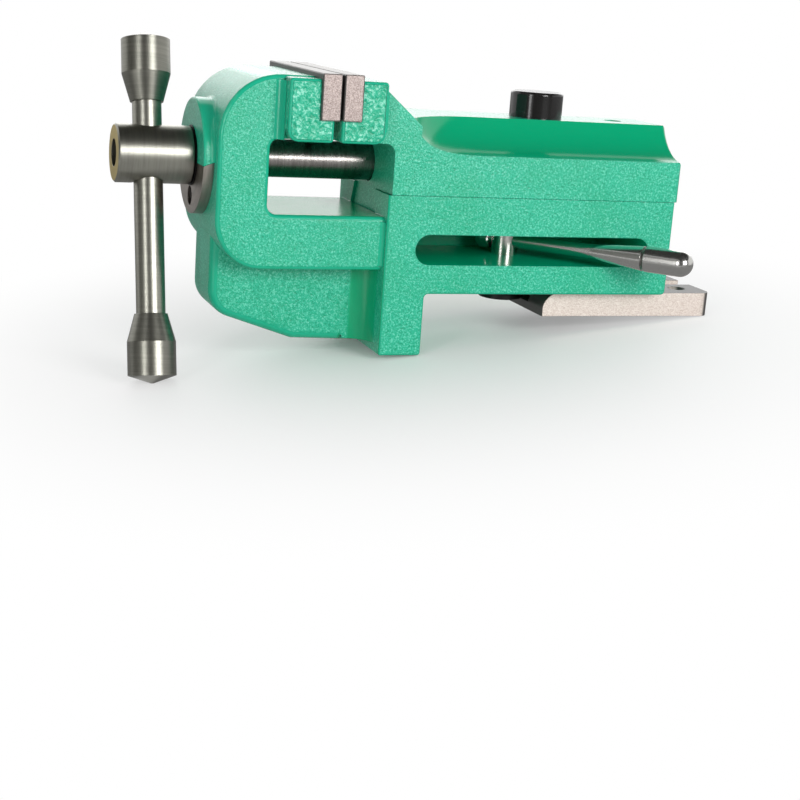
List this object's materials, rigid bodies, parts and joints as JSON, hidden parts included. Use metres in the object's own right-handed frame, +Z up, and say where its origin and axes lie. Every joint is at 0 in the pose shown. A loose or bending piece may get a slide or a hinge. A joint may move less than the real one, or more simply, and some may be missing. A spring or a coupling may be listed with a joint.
{
  "type": "jeweller's bench vise",
  "caption": "Small bench vise with a dovetail sliding jaw, sliding T-handle, quick-release button and a side lever that clamps it to its T-slot plate.",
  "frame": {"origin": "middle of the underside of the bench plate, where it stands on the bench", "axes": "+Z up, +X from the T-handle to the rear along the spindle, -Y to the side with the lever"},
  "size_m": [0.2039, 0.0802, 0.1047],
  "materials": {
    "green_paint": "hammered green enamel on cast iron, smooth in the coves",
    "ground_steel": "ground steel",
    "turned_steel": "turned steel, fine lathe marks",
    "dark_steel": "blackened steel",
    "polished_steel": "polished steel",
    "spring_steel": "drawn wire",
    "button_plastic": "gloss black",
    "foot_steel": "milled steel, warm grey",
    "plate_metal": "bare brass plate with a dark border",
    "bronze": "bearing bronze"
  },
  "bodies": {
    "base": {"base_casting": "green_paint", "name_plate": "plate_metal", "keeper_plate": "turned_steel", "keeper_screw": "dark_steel", "spindle_bush": "bronze", "front_jaw_plate": "ground_steel", "front_jaw_screws": "dark_steel"},
    "slider": {"sliding_jaw": "green_paint", "rear_jaw_plate": "ground_steel", "rear_jaw_screws": "dark_steel", "rear_plug": "dark_steel", "grub_screw": "dark_steel", "button_spring": "spring_steel"},
    "button": {"release_button": "button_plastic", "half_nut": "turned_steel"},
    "spindle": {"spindle": "dark_steel", "spindle_head": "turned_steel", "friction_screw": "dark_steel", "thrust_washer": "dark_steel"},
    "bar": {"handle_bar": "turned_steel", "handle_knob_upper": "turned_steel", "handle_knob_lower": "turned_steel"},
    "lever": {"post_nut": "polished_steel", "lever_rod": "polished_steel", "lever_handle": "polished_steel", "lever_knob": "polished_steel"},
    "t_bolt": {"t_bolt": "dark_steel"},
    "foot": {"bench_plate": "foot_steel"}
  },
  "joints": [
    {"name": "foot_slide", "type": "slide", "parent": "foot", "child": "base", "axis": [1, 0, 0], "range_m": [0, 0.042]},
    {"name": "spindle_turn", "type": "hinge", "parent": "base", "child": "spindle", "pos_m": [-0.1479, 0, 0.04725], "axis": [-1, 0, 0], "range_deg": [-84, 3600]},
    {"name": "jaw_slide", "type": "slide", "parent": "base", "child": "slider", "axis": [1, 0, 0], "range_m": [-0.0007, 0.03]},
    {"name": "button_press", "type": "slide", "parent": "slider", "child": "button", "axis": [0, 0, -1], "range_m": [0, 0.004], "stiffness_N_per_m": 1200, "springref_m": -0.004, "deforming": ["button_spring"]},
    {"name": "bar_slide", "type": "slide", "parent": "spindle", "child": "bar", "axis": [0, 0.2588, 0.9659], "range_m": [-0.006, 0.039]},
    {"name": "clamp_turn", "type": "hinge", "parent": "base", "child": "lever", "pos_m": [-0.0391, 0, 0.02265], "axis": [0, 0, -1], "range_deg": [-10.5, 96.5]},
    {"name": "bolt_lift", "type": "slide", "parent": "base", "child": "t_bolt", "axis": [0, 0, 1], "range_m": [-0.00004, 0.0003]}
  ],
  "couplings": [
    {"joint": "jaw_slide", "follows": "spindle_turn", "m_per_rad": 0.00047746},
    {"joint": "bolt_lift", "follows": "clamp_turn", "m_per_rad": 0.00015915}
  ]
}
